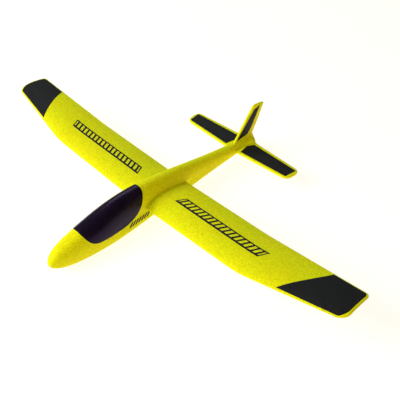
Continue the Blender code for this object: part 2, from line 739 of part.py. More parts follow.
def build():
    for old in list(bpy.data.objects):
        bpy.data.objects.remove(old)
    parts = bpy.data.collections.new("foam_glider")
    cutters = bpy.data.collections.new("cutters")
    for collection in (parts, cutters):
        bpy.context.scene.collection.children.link(collection)
    finishes = {name: material(name, *values) for name, values in FINISHES.items()}
    foam = finishes["yellow_foam"]
    black_film = finishes["black_film"]
    carbon = finishes["carbon_rod"]
    glass_fibre = finishes["glass_fibre"]
    nylon = finishes["sleeve_plastic"]

    body = fuselage_body(cutters)
    pockets = fuselage_pockets(cutters)
    for word, side in SIDES.items():
        fuselage_half(word, side, body, pockets, parts, cutters, foam)
    shell = canopy(parts, cutters, finishes["canopy_plastic"])
    joint_empty("canopy_lift", (0.0, sum(PEG_YS) / 2, PEG_BOTTOM_Z), parts, [shell])
    fin(parts, foam)

    wing_joiner(parts, carbon)
    ends = [(0, y, BALLAST_Z) for y in BALLAST_Y]
    mesh = cylinder("nose_ballast", *ends, BALLAST_RADIUS, BALLAST_SIDES)
    add_object("nose_ballast", mesh, parts, finishes["ballast_steel"])
    ends = [(0, y, ROD_Z) for y in ROD_Y]
    mesh = cylinder("boom_rod", *ends, ROD_RADIUS, THIN_SIDES)
    add_object("boom_rod", mesh, parts, glass_fibre)

    tail_pieces = [tailplane(parts, foam)]
    for word, side in SIDES.items():
        wing_films, tail_films = films(word, side, parts, black_film)
        tail_pieces += tail_films
        from_middle, from_root, from_rib = SLEEVE_ENDS_IN
        inner = joiner_point(side * from_middle), joiner_point(side * (ROOT_X - from_root))
        sleeve(f"fuselage_sleeve_{word}", *inner, parts, nylon)
        outer = joiner_point(side * (ROOT_X + from_rib)), joiner_point(side * SLEEVE_END)
        wing_pieces = [
            wing_panel(word, side, parts, cutters, foam),
            sleeve(f"wing_sleeve_{word}", *outer, parts, nylon),
        ]
        ends = [joiner_point(side * x, PIN_RISE, PIN_Y) for x in PIN_REACH]
        mesh = cylinder(f"wing_pin_{word}", *ends, PIN_RADIUS, THIN_SIDES)
        wing_pieces.append(add_object(f"wing_pin_{word}", mesh, parts, glass_fibre))
        mesh = spar_mesh(f"wing_spar_{word}", side, 0.0)
        wing_pieces.append(add_object(f"wing_spar_{word}", mesh, parts, carbon))
        wing_pieces += wing_films
        joint_empty(f"wing_{word}_slide", joiner_point(side * ROOT_X), parts, wing_pieces)
    joint_empty("tailplane_slide", (0.0, TAILPLANE_OUTLINE[0][1], TAILPLANE_Z), parts, tail_pieces)


build()
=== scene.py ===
"""Hand-launched foam glider: bead-foam fuselage halves, plug-in wing panels and tailplane, bonded fin.

Nose towards -Y, left wing towards +X, +Z up. Lengths are in metres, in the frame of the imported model.
"""

import math

import bmesh
import bpy
import numpy as np
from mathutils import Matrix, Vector
from mathutils.bvhtree import BVHTree

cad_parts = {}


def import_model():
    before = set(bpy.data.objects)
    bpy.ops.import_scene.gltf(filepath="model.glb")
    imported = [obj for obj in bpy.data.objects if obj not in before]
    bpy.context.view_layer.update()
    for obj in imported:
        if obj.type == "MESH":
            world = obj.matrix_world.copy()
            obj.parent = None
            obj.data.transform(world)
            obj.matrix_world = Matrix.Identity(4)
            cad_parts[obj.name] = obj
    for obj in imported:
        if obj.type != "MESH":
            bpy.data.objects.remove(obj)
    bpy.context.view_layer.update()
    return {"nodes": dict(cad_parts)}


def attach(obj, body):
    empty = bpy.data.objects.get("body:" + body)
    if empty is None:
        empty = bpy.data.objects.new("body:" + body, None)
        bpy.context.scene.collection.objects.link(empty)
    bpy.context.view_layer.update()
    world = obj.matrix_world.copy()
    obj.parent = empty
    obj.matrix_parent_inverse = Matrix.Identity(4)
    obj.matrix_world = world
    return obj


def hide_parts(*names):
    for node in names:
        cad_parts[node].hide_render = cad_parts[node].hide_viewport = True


# Whole glider
GAP = 0.0003
LEFT, RIGHT = 1, -1
SIDES = {"left": LEFT, "right": RIGHT}
NOSE_Y = -0.2635
TAIL_Y = 0.2635

# Fuselage: distance behind the nose, top, bottom, half width, lean. Sections are superellipses, and the
# lean is the share by which their sides close in between the two heights in LEAN_RISE.
FUSELAGE = (
    (0.000, 0.0255, 0.0255, 0.0000, 0.00),
    (0.025, 0.0503, 0.0070, 0.0170, 0.00),
    (0.080, 0.0653, -0.0008, 0.0254, 0.05),
    (0.120, 0.0753, -0.0018, 0.0285, 0.15),
    (0.160, 0.0813, -0.0002, 0.0293, 0.25),
    (0.200, 0.0812, 0.0029, 0.0281, 0.29),
    (0.280, 0.0708, 0.0090, 0.0224, 0.25),
    (0.360, 0.0555, 0.0139, 0.0158, 0.12),
    (0.440, 0.0432, 0.0173, 0.0110, 0.00),
    (0.4995, 0.0360, 0.0192, 0.0078, 0.00),
)
LEAN_RISE = (-0.75, -0.05)
SECTION_POWER = 2.3
SECTION_POINTS = 96
FUSELAGE_STATIONS = 150
TAIL_END_RADIUS = 0.0025
TAIL_END_TURNS = 7
FIRST_STATION = 0.00001
SHARP_ANGLE = 38
JOINT_LINE = 0.00006
DEEPEST_INSIDE = 0.005
VOXEL = 0.0012
ROOT_BLEND = 0.0012
SADDLE_BLEND = 0.0030
PROJECTION_STEPS = 3

# Wing panels, each from its root rib to the tip
ROOT_X = 0.034
TIP_X = 0.425
WING_Z = 0.0404
KINK_X = 0.223
DIHEDRAL = 0.0638
TIP_DIHEDRAL = 0.0710
LEADING_EDGE = ((0.0, -0.0675), (0.250, -0.0713), (TIP_X, -0.0446))
TRAILING_EDGE = ((0.0, 0.0348), (0.223, 0.0281), (TIP_X, 0.0209))
KINK_SOFTNESS = 0.012
TIP_RADIUS_FRONT = 0.016
TIP_RADIUS_REAR = 0.008
TIP_EDGE_RADIUS = 0.0035
TIP_ZONE = 0.020
SECTION_XS = (ROOT_X, KINK_X, TIP_X)
CAMBER = (0.050, 0.045, 0.028)
CAMBER_AT = 0.40
THICKNESS = (0.140, 0.115, 0.088)
TRAILING_THICKNESS = 0.0018
WING_POINTS = 44
TRAILING_POINTS = 5
STUB_END = 0.046
STUB_STATIONS = 16

# Wing joiner, its sleeves, the anti-rotation pins and the spar strips
JOINER_Y = -0.0340
JOINER_RISE = 0.0044
SLEEVE_RADIUS = 0.0035
SLEEVE_END = 0.098
PIN_Y = 0.0095
PIN_RISE = 0.0030
PIN_RADIUS = 0.0015
PIN_REACH = (0.016, 0.058)
SPAR_Y = -0.0210
SPAR_REACH = (0.045, 0.216)
SPAR_WIDTH = 0.005
SPAR_HEIGHT = 0.0020
SPAR_DROP = 0.0004
SPAR_CHORD = 0.45
SPAR_SLOT_DEPTH = 0.006
BORE_OVERRUN = 0.010
BORE_MEETING = 0.004
WING_STATIONS = 64
TIP_STATIONS = 30

# Tailplane, in a slot across the tail
TAILPLANE_Z = 0.03075
TAILPLANE_THICKNESS = 0.0055
TAILPLANE_OUTLINE = (
    (0.000, 0.1752),
    (0.020, 0.1754),
    (0.130, 0.1817),
    (0.139, 0.1900),
    (0.1405, 0.2110),
    (0.1345, 0.2190),
    (0.021, 0.2257),
    (0.012, 0.2318),
    (0.000, 0.2350),
)
TAILPLANE_EDGE = 0.0022
TAILPLANE_CORNER = 0.006
TAILPLANE_SLOT_X = 0.040
SLOT_CLEARANCE = 0.00075

# Saddle moulded over the tailplane: y, half width at its foot, height of its ridge
SADDLE = (
    (0.1580, 0.0060, 0.0430),
    (0.1760, 0.0112, 0.0425),
    (0.1850, 0.0114, 0.0435),
    (0.1960, 0.0117, 0.0448),
    (0.2070, 0.0138, 0.0460),
    (0.2160, 0.0172, 0.0468),
    (0.2230, 0.0200, 0.0470),
    (0.2290, 0.0160, 0.0462),
    (0.2345, 0.0080, 0.0445),
)
SADDLE_FOOT_Z = 0.0330
SADDLE_FLANGE = 0.0022
SADDLE_SINK = 0.0030
SADDLE_CREST = 0.0034
SADDLE_POINTS = 18
SADDLE_STATIONS = 60

# Fin, plugged into a slot in the saddle: y, z around its outline
FIN_THICKNESS = 0.0052
FIN_OUTLINE = (
    (0.1800, 0.0370),
    (0.1800, 0.0425),
    (0.2105, 0.0816),
    (0.2325, 0.1086),
    (0.2375, 0.1103),
    (0.2610, 0.1070),
    (TAIL_Y, 0.1045),
    (0.2478, 0.0703),
    (0.2350, 0.0470),
    (0.2320, 0.0370),
)
FIN_EDGE = 0.0020
FIN_CORNER = 0.004
FIN_SLOT_TOP_Z = 0.060

# Canopy shell: y, z along its lower edge in side view
CANOPY_EDGE = (
    (-0.2050, 0.0780),
    (-0.1986, 0.0561),
    (-0.1876, 0.0401),
    (-0.1687, 0.0320),
    (-0.1355, 0.0307),
    (-0.1074, 0.0328),
    (-0.0849, 0.0434),
    (-0.0729, 0.0620),
    (-0.0680, 0.0745),
    (-0.0655, 0.0860),
)
CANOPY_TOP_Z = 0.100
CANOPY_PROUD = 0.0004
CANOPY_WALL = 0.0013
CANOPY_LIP = ((-0.0008, 0.0), (-0.0003, -0.00012), (0.0, -0.0005))
CANOPY_STATIONS = 90
CANOPY_POINTS = 56
SEAT_HEIGHT = 0.006
PEG_RADIUS = 0.0030
PEG_ROUNDING = 0.0006
PEG_BOTTOM_Z = 0.046
PEG_YS = (-0.180, -0.092)

# Steel ballast in the nose and the stiffening rod in the tail boom
BALLAST_RADIUS = 0.0090
BALLAST_Y = (-0.234, -0.198)
BALLAST_Z = 0.0270
ROD_RADIUS = 0.0015
ROD_Y = (-0.020, 0.166)
ROD_Z = 0.0300

# Films stuck on the foam
FILM = 0.00010
FILM_LIFT = 0.00005
FILM_CORNER = 0.0008
TIP_PANEL_FRONT_X = 0.312
TIP_PANEL_REAR_X = 0.360
TIP_PANEL_BOW = 0.004
TIP_PANEL_MARGIN = 0.0038
TIP_PANEL_CHORD = (0.036, 0.982)
TIP_PANEL_GRID = (40, 56)
TIP_PANEL_CROWDING = 1.4
GRAPHIC_X = (0.057, 0.255)
GRAPHIC_SLANT = 0.010
GRAPHIC_CHORD = (0.412, 0.615)
GRAPHIC_BORDER = (0.20, 0.86)
GRAPHIC_ENDS = 0.013
GRAPHIC_STRIPES = 18
GRAPHIC_STRIPE_SHARE = 0.42
GRAPHIC_CELL = (0.012, 0.12)
TAIL_PANEL = ((0.0200, 0.1802), (0.1315, 0.1858), (0.1355, 0.2130), (0.0235, 0.2178), (0.0155, 0.2035))
FIN_PANEL = ((0.1855, 0.0462), (0.2345, 0.1012), (0.2520, 0.1052), (0.2275, 0.0600), (0.2185, 0.0500))
MARK_Y = (-0.1095, -0.0620)
MARK_Z = (0.0228, 0.0310)
MARK_SLANT = 0.008
MARK_TILT = 0.0011
MARK_STRIPES = 7
MARK_STRIPE_SHARE = 0.60
MARK_CELL = (0.03, 0.12)
MARK_RAY_X = 0.060

# Camera and stage
CAMERA_AIM = (0.04647, 0.04083, 0.00880)
CAMERA_DISTANCE = 1.1345
CAMERA_AZIMUTH = 45.755
CAMERA_ELEVATION = 42.331
CAMERA_LENS = 53.97
CAMERA_SENSOR = 36.0
CAMERA_CLIP = (0.01, 100.0)
FLOOR_SIZE = 12.0
FLOOR_DROP = 0.0002
AMBIENT = 0.16

# Lights: name, direction, distance, size, energy, colour, and whether surfaces show it in both their
# shading and their sheen or in one of them only
LIGHTS = (
    ("key_light", (-0.42, -0.70, 0.58), 2.60, (2.0, 1.60), 81.0, (1.00, 0.985, 0.95), "both"),
    ("rim_light", (-0.60, 0.36, 0.72), 1.25, (1.0, 0.14), 4.0, (0.85, 0.850, 1.00), "sheen"),
    ("back_light", (-0.60, 0.65, 0.50), 2.60, (2.0, 1.60), 8.0, (0.15, 1.000, 0.15), "shading"),
    ("side_light", (0.97, 0.16, 0.18), 2.20, (1.4, 0.60), 10.5, (1.00, 0.620, 0.28), "shading"),
)


# ---------------------------------------------------------------- curves and surfaces


def natural_spline(knots, values, wanted):
    """The natural cubic spline through values at knots, read at wanted."""
    knots = np.asarray(knots, float)
    values = np.asarray(values, float)
    steps = np.diff(knots)
    count = len(knots)
    system = np.eye(count)
    right_side = np.zeros(count)
    for i in range(1, count - 1):
        system[i, i - 1 : i + 2] = steps[i - 1], 2 * (steps[i - 1] + steps[i]), steps[i]
        slopes = np.diff(values[i - 1 : i + 2]) / steps[i - 1 : i + 1]
        right_side[i] = 6 * (slopes[1] - slopes[0])
    bends = np.linalg.solve(system, right_side)
    wanted = np.asarray(wanted, float)
    i = np.clip(np.searchsorted(knots, wanted) - 1, 0, count - 2)
    before = wanted - knots[i]
    after = knots[i + 1] - wanted
    step = steps[i]
    return (
        (bends[i] * after**3 + bends[i + 1] * before**3) / (6 * step)
        + (values[i] / step - bends[i] * step / 6) * after
        + (values[i + 1] / step - bends[i + 1] * step / 6) * before
    )


def smoothstep(low, high, value):
    t = np.clip((np.asarray(value, float) - low) / (high - low), 0.0, 1.0)
    return t * t * (3 - 2 * t)


def soft_ramp(value, softness):
    """max(0, value) with its corner rounded over softness to either side."""
    value = np.asarray(value, float)
    rounded = (value + softness) ** 2 / (4 * softness)
    return np.where(value < -softness, 0.0, np.where(value > softness, value, rounded))


def soft_line(line, x):
    """A line of three points, read at x, with its corner rounded."""
    (x0, v0), (x1, v1), (x2, v2) = line
    first = (v1 - v0) / (x1 - x0)
    second = (v2 - v1) / (x2 - x1)
    return v0 + first * (np.asarray(x, float) - x0) + (second - first) * soft_ramp(x - x1, KINK_SOFTNESS)


def fuselage_section(y):
    """Top, bottom, half width and lean at y, read against the root of the distance to round the nose."""
    rows = np.array(FUSELAGE)
    roots = np.sqrt(rows[:, 0])
    here = np.sqrt(np.maximum(np.asarray(y, float) - NOSE_Y, 0.0))
    return tuple(natural_spline(roots, rows[:, i], here) for i in (1, 2, 3, 4))


def leaning(up, lean):
    """How much of the half width is left at up, which runs from -1 at the bottom to 1 at the top."""
    return 1 - lean * smoothstep(*LEAN_RISE, up)


def fuselage_points(y, angle, proud=0.0):
    """Points of the sections at y, angle measured from +X towards +Z, moved outwards by proud."""
    top, bottom, half_width, lean = fuselage_section(y)
    across, up = (np.sign(v) * np.abs(v) ** (2 / SECTION_POWER) for v in (np.cos(angle), np.sin(angle)))
    x = (half_width * leaning(up, lean) + proud) * across
    z = (top + bottom) / 2 + ((top - bottom) / 2 + proud) * up
    return np.stack(np.broadcast_arrays(x, y, z), -1)


def corner_cut(x, radius):
    """How far a tip corner of this radius draws an edge in at x."""
    into = np.clip(np.asarray(x, float) - (TIP_X - radius), 0.0, radius)
    return radius - np.sqrt(radius**2 - into**2)


def wing_edges(x):
    front = soft_line(LEADING_EDGE, x) + corner_cut(x, TIP_RADIUS_FRONT)
    rear = soft_line(TRAILING_EDGE, x) - corner_cut(x, TIP_RADIUS_REAR)
    return front, rear


def wing_height(x):
    x = np.asarray(x, float)
    return WING_Z + DIHEDRAL * (x - ROOT_X) + TIP_DIHEDRAL * soft_ramp(x - KINK_X, KINK_SOFTNESS)


def along_span(values, x):
    return np.interp(x, SECTION_XS, values)


def camber_line(x, c):
    """Height of the mean line over the chord, as a fraction of the chord."""
    camber = along_span(CAMBER, x)
    front = camber / CAMBER_AT**2 * (2 * CAMBER_AT * c - c * c)
    rear = camber / (1 - CAMBER_AT) ** 2 * (1 - 2 * CAMBER_AT + 2 * CAMBER_AT * c - c * c)
    return np.where(c < CAMBER_AT, front, rear)


def half_thickness(x, c):
    shape = 0.2969 * np.sqrt(c) - 0.1260 * c - 0.3516 * c**2 + 0.2843 * c**3 - 0.1036 * c**4
    return 5 * along_span(THICKNESS, x) * shape


def tip_thinning(x):
    """The section thins to nothing over the rounded edge of the tip."""
    into = np.clip((np.asarray(x, float) - (TIP_X - TIP_EDGE_RADIUS)) / TIP_EDGE_RADIUS, 0.0, 1.0)
    return np.sqrt(1 - into**2)


def wing_points(x, c, surface, proud=0.0):
    """Points at chord fraction c of the section at x. surface is 1 on top and -1 underneath."""
    x, c = np.broadcast_arrays(np.asarray(x, float), np.asarray(c, float))
    front, rear = wing_edges(x)
    rear = rear - TRAILING_THICKNESS / 2
    full_chord = soft_line(TRAILING_EDGE, x) - soft_line(LEADING_EDGE, x)
    thick = full_chord * half_thickness(x, c) + TRAILING_THICKNESS / 2 * c
    z = wing_height(x) + full_chord * camber_line(x, c) + surface * (thick * tip_thinning(x) + proud)
    return np.stack([x, front + c * (rear - front), z], -1)


def wing_section(x, side):
    """The section at x from the trailing edge over the nose and back."""
    c = (1 - np.cos(np.linspace(0, math.pi, WING_POINTS + 1))) / 2
    over = wing_points(x, c, 1)[::-1]
    under = wing_points(x, c, -1)[1:]
    radius = (over[0, 2] - under[-1, 2]) / 2
    turns = np.linspace(-math.pi / 2, math.pi / 2, TRAILING_POINTS + 2)[1:-1]
    round_edge = np.stack([0 * turns, radius * np.cos(turns), radius * np.sin(turns)], -1)
    ring = np.concatenate([over, under, (over[0] + under[-1]) / 2 + round_edge])
    ring[:, 0] *= side
    return ring


# ---------------------------------------------------------------- meshes


def new_object(name, mesh):
    made = bpy.data.objects.new(name, mesh)
    bpy.context.scene.collection.objects.link(made)
    return made


def finish_mesh(mesh):
    """Welds coincident points, turns the faces outwards and shades smooth apart from real edges."""
    bm = bmesh.new()
    bm.from_mesh(mesh)
    bmesh.ops.remove_doubles(bm, verts=bm.verts, dist=1e-7)
    bmesh.ops.dissolve_degenerate(bm, edges=bm.edges, dist=1e-8)
    bmesh.ops.recalc_face_normals(bm, faces=bm.faces)
    bm.to_mesh(mesh)
    bm.free()
    mesh.shade_smooth()
    mesh.set_sharp_from_angle(angle=math.radians(SHARP_ANGLE))
    return mesh


def mesh_of(name, points, faces):
    mesh = bpy.data.meshes.new(name)
    mesh.from_pydata([tuple(p) for p in points], [], faces)
    return finish_mesh(mesh)


def loft(name, rings):
    """A closed mesh through rings with the same number of points."""
    count = len(rings[0])
    faces = []
    for k in range(len(rings) - 1):
        for i in range(count):
            j = (i + 1) % count
            faces.append((k * count + i, k * count + j, (k + 1) * count + j, (k + 1) * count + i))
    faces.append(tuple(range(count)))
    faces.append(tuple((len(rings) - 1) * count + i for i in reversed(range(count))))
    return mesh_of(name, np.concatenate(rings), faces)


def box(name, low, high):
    (x0, y0, z0), (x1, y1, z1) = low, high
    corners = [(x0, y0), (x1, y0), (x1, y1), (x0, y1)]
    return loft(name, [np.array([(x, y, z) for x, y in corners]) for z in (z0, z1)])


def rod(name, start, end, radius, sides=32, end_rounding=0.0):
    """A round bar from start to end, its ends rounded over a short length."""
    start, end = Vector(start), Vector(end)
    axis = (end - start).normalized()
    across = axis.orthogonal().normalized()
    upright = axis.cross(across)
    turns = np.linspace(0, math.tau, sides, endpoint=False)
    length = (end - start).length
    steps = [(0.0, radius), (length, radius)]
    if end_rounding:
        arc = np.linspace(0, math.pi / 2, 5)
        lead = [(end_rounding * (1 - math.sin(a)), radius - end_rounding * (1 - math.cos(a))) for a in arc]
        steps = lead[::-1] + [(length - d, r) for d, r in lead]
    rings = []
    for along, size in steps:
        centre = start + axis * along
        spokes = [across * math.cos(t) + upright * math.sin(t) for t in turns]
        rings.append(np.array([centre + spoke * size for spoke in spokes]))
    return loft(name, rings)


def carve(target, steps):
    """Applies Boolean steps (operation, mesh) to target and keeps only the result."""
    helpers = []
    for operation, mesh in steps:
        helper = new_object("helper", mesh)
        helpers.append(helper)
        modifier = target.modifiers.new(operation.lower(), "BOOLEAN")
        modifier.operation = operation
        modifier.solver = "MANIFOLD"
        modifier.object = helper
    bpy.context.view_layer.update()
    shown = target.evaluated_get(bpy.context.evaluated_depsgraph_get())
    result = bpy.data.meshes.new_from_object(shown)
    target.modifiers.clear()
    target.data = result
    for helper in helpers:
        bpy.data.objects.remove(helper)
    finish_mesh(result)
    return target


def tree_of(mesh):
    points = [v.co.copy() for v in mesh.vertices]
    return BVHTree.FromPolygons(points, [tuple(p.vertices) for p in mesh.polygons])


def joiner_point(x, rise=JOINER_RISE, y=JOINER_Y):
    """A point of the line that rises with the root dihedral, at signed x."""
    return Vector((x, y, WING_Z + rise + DIHEDRAL * (abs(x) - ROOT_X)))


# ---------------------------------------------------------------- fuselage


def fuselage_loft():
    """The plain body without its fairings, closed by a small rounded end at the tail."""
    angles = np.linspace(0, math.tau, SECTION_POINTS, endpoint=False)
    last = FUSELAGE[-1][0]
    roots = np.linspace(math.sqrt(FIRST_STATION), math.sqrt(last - TAIL_END_RADIUS), FUSELAGE_STATIONS)
    rings = [fuselage_points(NOSE_Y + root**2, angles) for root in roots]
    for turn in np.linspace(0.2, math.pi / 2, TAIL_END_TURNS):
        inset = TAIL_END_RADIUS * (1 - math.cos(turn))
        y = NOSE_Y + last - TAIL_END_RADIUS * (1 - math.sin(turn))
        rings.append(fuselage_points(y, angles, -inset))
    return loft("fuselage_loft", rings)


def stub_loft(side):
    """The wing section carried into the fuselage."""
    return loft("stub_loft", [wing_section(x, side) for x in np.linspace(0.0, STUB_END, STUB_STATIONS)])


def saddle_loft():
    """The saddle over the tailplane: each side sweeps up in a hollow curve to meet the fin."""
    rows = np.array(SADDLE)
    ys = np.linspace(rows[0, 0], rows[-1, 0], SADDLE_STATIONS)
    feet = natural_spline(rows[:, 0], rows[:, 1], ys)
    ridges = natural_spline(rows[:, 0], rows[:, 2], ys)
    rings = []
    for y, foot, ridge in zip(ys, feet, ridges):
        up = np.linspace(0, 1, SADDLE_POINTS)
        low = SADDLE_FOOT_Z + SADDLE_FLANGE
        x = np.concatenate([[foot], SADDLE_CREST + (foot - SADDLE_CREST) * (1 - up) ** 2])
        z = np.concatenate([[SADDLE_FOOT_Z - SADDLE_SINK], low + (ridge - low) * up])
        half = np.stack([x, np.full_like(x, y), z], -1)
        rings.append(np.concatenate([half, (half * (-1, 1, 1))[::-1]]))
    return loft("saddle_loft", rings)


def signed_distances(tree, points):
    """Distance from each point to a closed mesh, negative inside, and the direction it grows in.

    The nearest face can point the wrong way for a point far off its edge, so only a small depth counts.
    """
    distances = np.empty(len(points))
    directions = np.empty((len(points), 3))
    for i, point in enumerate(points):
        place, normal, _, distance = tree.find_nearest(point)
        away = Vector(point) - place
        sign = -1.0 if away.dot(normal) < 0 and distance < DEEPEST_INSIDE else 1.0
        distances[i] = sign * distance
        directions[i] = away * (sign / distance) if distance > 1e-6 else normal
    return distances, directions


def smooth_union(first, second, blend):
    """Joins two distance fields with a fillet about as wide as blend."""
    (d1, g1), (d2, g2) = first, second
    share = np.clip(0.5 + 0.5 * (d2 - d1) / blend, 0.0, 1.0)
    distance = d2 + (d1 - d2) * share - blend * share * (1 - share)
    return distance, g2 + (g1 - g2) * share[:, None]


def fuselage_body():
    """Both halves in one: the body, the wing roots and the saddle joined with fillets."""
    body, saddle = fuselage_loft(), saddle_loft()
    stubs = [stub_loft(side) for side in SIDES.values()]
    bm = bmesh.new()
    for mesh in (body, saddle, *stubs):
        bm.from_mesh(mesh)
    joined = bpy.data.meshes.new("fuselage_body")
    bm.to_mesh(joined)
    bm.free()
    made = new_object("fuselage_body", joined)
    modifier = made.modifiers.new("voxels", "REMESH")
    modifier.mode = "VOXEL"
    modifier.voxel_size = VOXEL
    bpy.context.view_layer.update()
    shown = made.evaluated_get(bpy.context.evaluated_depsgraph_get())
    skin = bpy.data.meshes.new_from_object(shown)
    bpy.data.objects.remove(made)
    points = np.empty(len(skin.vertices) * 3)
    skin.vertices.foreach_get("co", points)
    points = points.reshape(-1, 3)
    body_tree, saddle_tree, stub_tree = tree_of(body), tree_of(saddle), tree_of(stubs[0])
    for _ in range(PROJECTION_STEPS):
        mirror = np.where(points[:, :1] < 0, -1.0, 1.0) * (1, 0, 0) + (0, 1, 1)
        field = signed_distances(body_tree, points)
        distance, direction = signed_distances(stub_tree, points * mirror)
        field = smooth_union(field, (distance, direction * mirror), ROOT_BLEND)
        field = smooth_union(field, signed_distances(saddle_tree, points), SADDLE_BLEND)
        distance, direction = field
        steepness = np.maximum((direction**2).sum(1), 0.25)
        move = direction * (distance / steepness)[:, None]
        size = np.linalg.norm(move, axis=1)[:, None]
        points = points - move * np.minimum(1.0, VOXEL / np.maximum(size, 1e-9))
    skin.vertices.foreach_set("co", points.ravel())
    return finish_mesh(skin)


def canopy_limits(grown):
    """The canopy's lower edge in side view, grown outwards, as dense y and z."""
    rows = np.array(CANOPY_EDGE)
    marks = np.linspace(0.0, len(rows) - 1.0, 400)
    y = natural_spline(range(len(rows)), rows[:, 0], marks)
    z = natural_spline(range(len(rows)), rows[:, 1], marks)
    away = np.stack([np.gradient(z), -np.gradient(y)], 1)
    away *= grown / np.linalg.norm(away, axis=1)[:, None]
    y, z = y + away[:, 0], z + away[:, 1]
    y = np.concatenate([[y[0] - 1e-5], y, [y[-1] + 1e-5]])
    return y, np.concatenate([[CANOPY_TOP_Z], z, [CANOPY_TOP_Z]])


def canopy_grid(proud, grown):
    """Points of the canopy's surface, offset by proud, over the top from edge to edge."""
    edge_y, edge_z = canopy_limits(grown)
    top = fuselage_section(edge_y)[0] + proud
    inside = np.flatnonzero(edge_z < top)
    ends = []
    for i, j in ((inside[0] - 1, inside[0]), (inside[-1], inside[-1] + 1)):
        high, low = edge_z[i] - top[i], edge_z[j] - top[j]
        ends.append(edge_y[i] + (edge_y[j] - edge_y[i]) * high / (high - low))
    turns = np.linspace(0, math.pi, CANOPY_STATIONS)
    y = ends[0] + (ends[1] - ends[0]) * (1 - np.cos(turns)) / 2
    top, bottom, _, _ = fuselage_section(y)
    middle, half = (top + bottom) / 2, (top - bottom) / 2 + proud
    up = np.clip((np.interp(y, edge_y, edge_z) - middle) / half, -1.0, 1.0)
    start = np.arcsin(np.sign(up) * np.abs(up) ** (SECTION_POWER / 2))
    start[0] = start[-1] = math.pi / 2
    across = np.linspace(0, 1, CANOPY_POINTS)
    angles = start[:, None] + (math.pi - 2 * start[:, None]) * across
    return fuselage_points(y[:, None] + 0 * angles, angles, proud)


def canopy_solid(name, outer, lip, inner):
    """A closed shell between two offsets of the canopy's surface. lip holds the rows around its rim."""
    rows, columns = CANOPY_STATIONS, CANOPY_POINTS
    layers = [canopy_grid(proud, grown) for proud, grown in (outer, *lip, inner)]
    points = np.concatenate([layer.reshape(-1, 3) for layer in layers])
    size = rows * columns
    last = (len(layers) - 1) * size
    faces = []
    for i in range(rows - 1):
        for j in range(columns - 1):
            a = i * columns + j
            faces.append((a, a + 1, a + columns + 1, a + columns))
            faces.append((last + a, last + a + columns, last + a + columns + 1, last + a + 1))
    for layer in range(len(layers) - 1):
        for column in (0, columns - 1):
            for i in range(rows - 1):
                a = layer * size + i * columns + column
                faces.append((a, a + columns, a + size + columns, a + size))
    return mesh_of(name, points, faces)


def canopy():
    outer = (CANOPY_PROUD, CANOPY_LIP[0][0])
    lip = [(CANOPY_PROUD + drop, grown) for grown, drop in CANOPY_LIP[1:]]
    inner = (CANOPY_PROUD - CANOPY_WALL, 0.0)
    shell = new_object("canopy_shell", canopy_solid("canopy_shell", outer, lip, inner))
    pegs = []
    for y in PEG_YS:
        top = float(fuselage_section(y)[0]) - CANOPY_WALL / 2
        pegs.append(("UNION", rod("peg", (0, y, PEG_BOTTOM_Z), (0, y, top), PEG_RADIUS, 28, PEG_ROUNDING)))
    return carve(shell, pegs)


def fuselage_pockets():
    """Everything that is moulded into both halves, as cutters that cross the joint between them."""
    outer, inner = (SEAT_HEIGHT, GAP), (CANOPY_PROUD - CANOPY_WALL - GAP, GAP)
    pockets = [canopy_solid("canopy_seat", outer, [], inner)]
    for y in PEG_YS:
        pockets.append(rod("peg_hole", (0, y, PEG_BOTTOM_Z - GAP), (0, y, CANOPY_TOP_Z), PEG_RADIUS + GAP))
    ends = [(0, BALLAST_Y[0] - GAP, BALLAST_Z), (0, BALLAST_Y[1] + GAP, BALLAST_Z)]
    pockets.append(rod("ballast_pocket", *ends, BALLAST_RADIUS + GAP, 40))
    ends = [(0, ROD_Y[0] - GAP, ROD_Z), (0, ROD_Y[1] + GAP, ROD_Z)]
    pockets.append(rod("rod_groove", *ends, ROD_RADIUS + GAP, 24))
    low = TAILPLANE_Z - TAILPLANE_THICKNESS / 2 - GAP
    high = TAILPLANE_Z + TAILPLANE_THICKNESS / 2 + SLOT_CLEARANCE
    front = TAILPLANE_OUTLINE[0][1] - GAP
    pockets.append(box("tailplane_slot", (-TAILPLANE_SLOT_X, front, low), (TAILPLANE_SLOT_X, TAIL_Y, high)))
    half = FIN_THICKNESS / 2 + GAP
    foot_y, foot_z = FIN_OUTLINE[0]
    pockets.append(box("fin_slot", (-half, foot_y - GAP, foot_z - GAP), (half, TAIL_Y, FIN_SLOT_TOP_Z)))
    for side in SIDES.values():
        end = joiner_point(side * (ROOT_X + BORE_OVERRUN))
        middle = joiner_point(0.0)
        start = middle - (end - middle).normalized() * BORE_MEETING
        pockets.append(rod("sleeve_bore", start, end, SLEEVE_RADIUS + GAP))
        start = joiner_point(side * (PIN_REACH[0] - GAP), PIN_RISE, PIN_Y)
        end = joiner_point(side * (ROOT_X + BORE_OVERRUN), PIN_RISE, PIN_Y)
        pockets.append(rod("pin_socket", start, end, PIN_RADIUS + GAP, 24))
    return pockets


def fuselage_halves():
    body = new_object("whole_fuselage", fuselage_body())
    carve(body, [("DIFFERENCE", pocket) for pocket in fuselage_pockets()])
    halves = {}
    for word, side in SIDES.items():
        name = f"fuselage_shell_{word}"
        low, high = sorted((side * JOINT_LINE / 2, side * ROOT_X))
        half = new_object(name, body.data.copy())
        room = box(name, (low, NOSE_Y - GAP, 0.0), (high, TAIL_Y + GAP, CANOPY_TOP_Z))
        halves[word] = carve(half, [("INTERSECT", room)])
    bpy.data.objects.remove(body)
    return halves


# ---------------------------------------------------------------- wings and tail


def wing_stations():
    inner = np.linspace(ROOT_X + GAP, TIP_X - TIP_ZONE, WING_STATIONS)[:-1]
    turns = np.linspace(0, math.pi / 2, TIP_STATIONS)
    return [*inner, *(TIP_X - TIP_ZONE * (1 - np.sin(turns)))]


